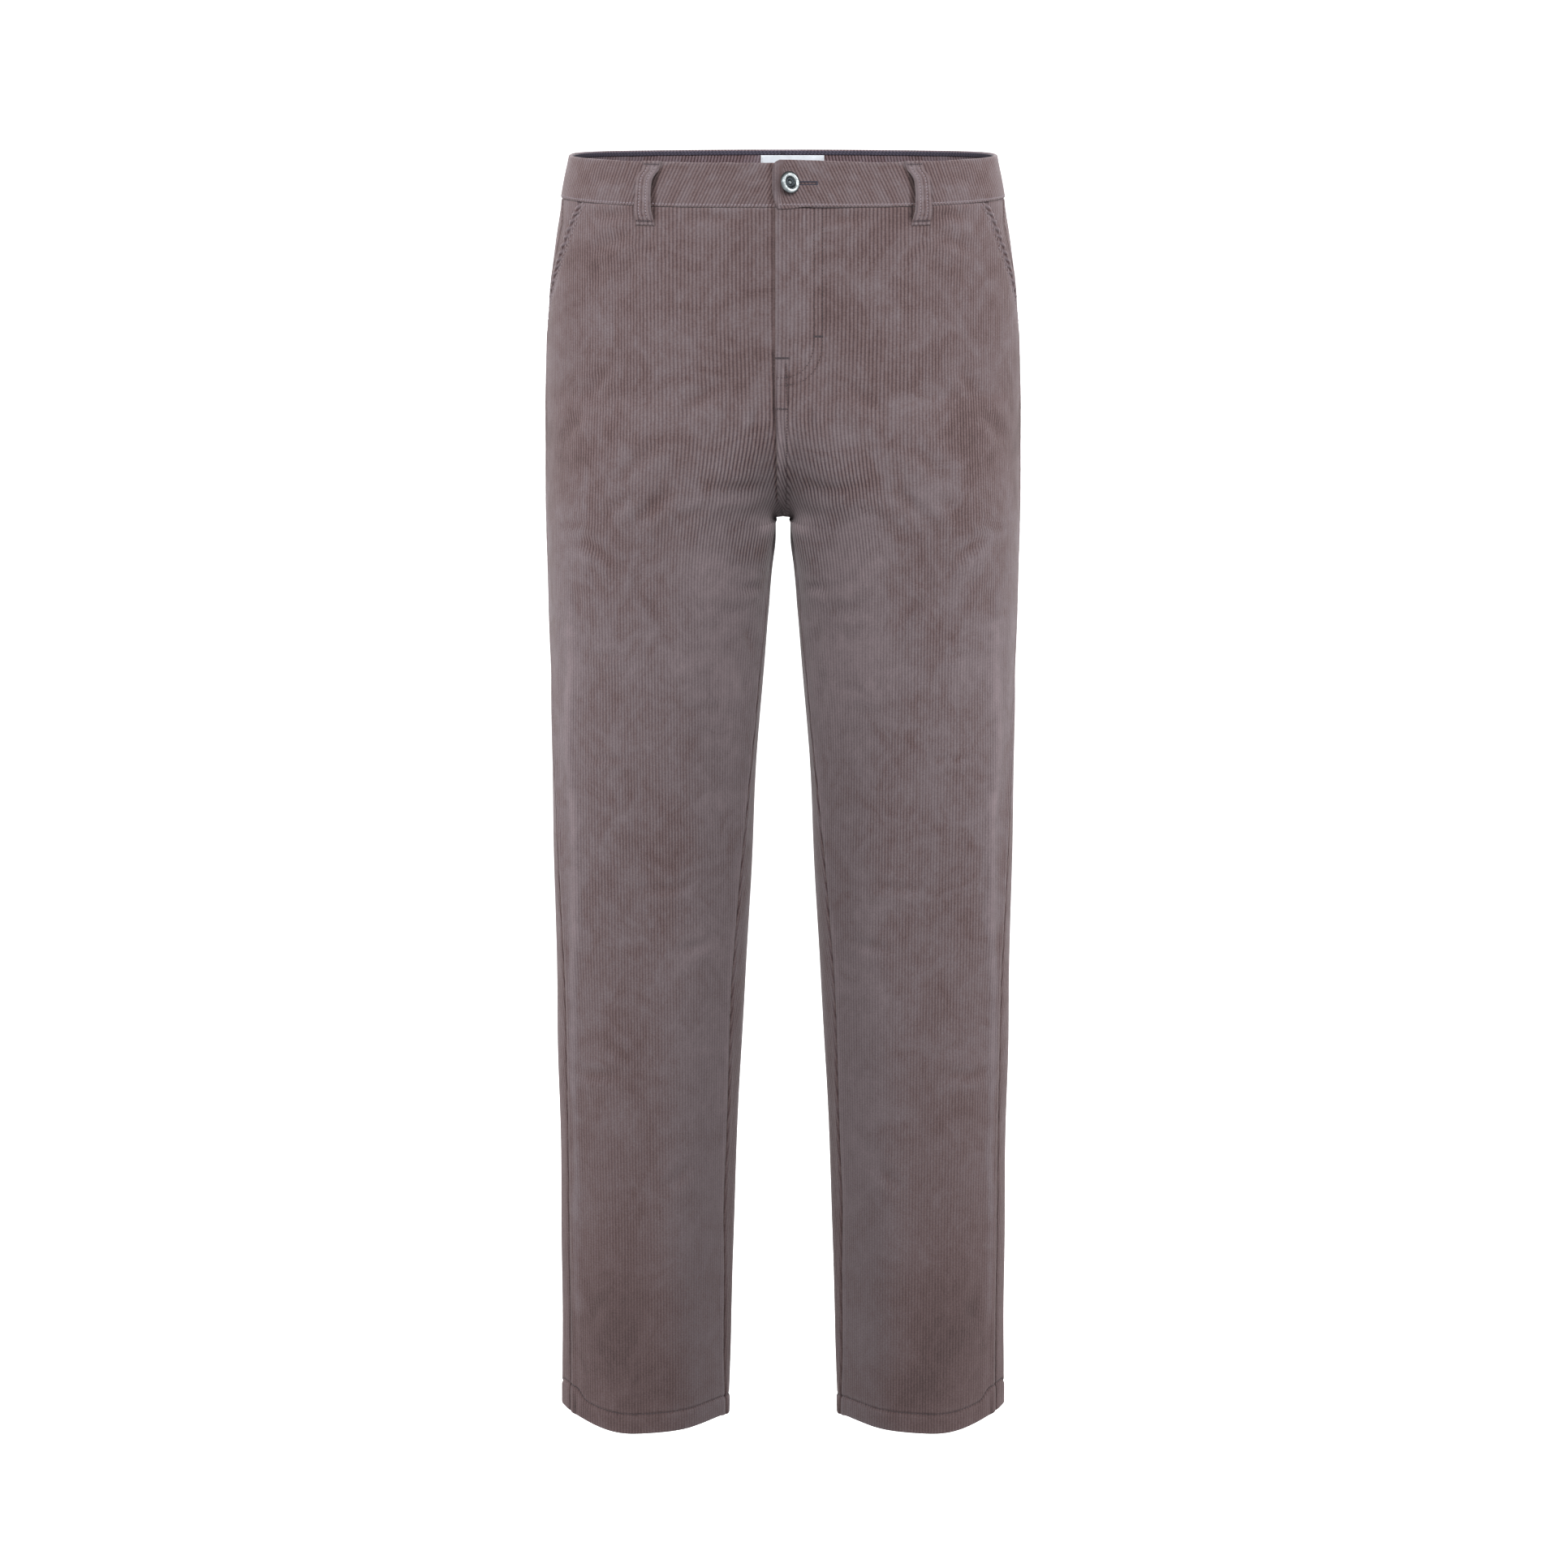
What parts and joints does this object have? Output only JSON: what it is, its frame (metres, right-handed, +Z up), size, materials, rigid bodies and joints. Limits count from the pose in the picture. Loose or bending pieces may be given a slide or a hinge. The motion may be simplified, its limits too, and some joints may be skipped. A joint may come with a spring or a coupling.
{
  "type": "corduroy chinos",
  "caption": "Straight-leg corduroy trousers held round and hollow, with a lapped fly, shank button, slant pockets, belt loops and turned-up hems.",
  "frame": {"origin": "centre of the waist opening, level with the middle of the waistband at the sides", "axes": "+Z up along the garment to the waist, -Y out of the front of the trousers, +X towards the wearer's left"},
  "size_m": [0.4116, 0.269, 1.1285],
  "materials": {
    "corduroy": "fine-wale cotton corduroy, wales about 1.9 mm apart, soft brushed nap, dusty mauve taupe",
    "pocket_cotton": "plain weave pocketing",
    "zip_tape": "woven tape",
    "label_satin": "smooth woven satin, blank",
    "button_metal": "antique nickel, worn bright on the ring"
  },
  "bodies": {
    "root": {"front_left": "corduroy", "front_right": "corduroy", "back_left": "corduroy", "back_right": "corduroy", "waistband_left": "corduroy", "waistband_right": "corduroy", "belt_loop_front_left": "corduroy", "belt_loop_front_right": "corduroy", "belt_loop_back_left": "corduroy", "belt_loop_back_right": "corduroy", "belt_loop_back_centre": "corduroy", "pocket_facing_left": "corduroy", "pocket_facing_right": "corduroy", "pocket_bag_left": "pocket_cotton", "pocket_bag_right": "pocket_cotton", "fly_zip": "zip_tape", "waist_label": "label_satin", "waist_button": "button_metal"}
  },
  "joints": []
}
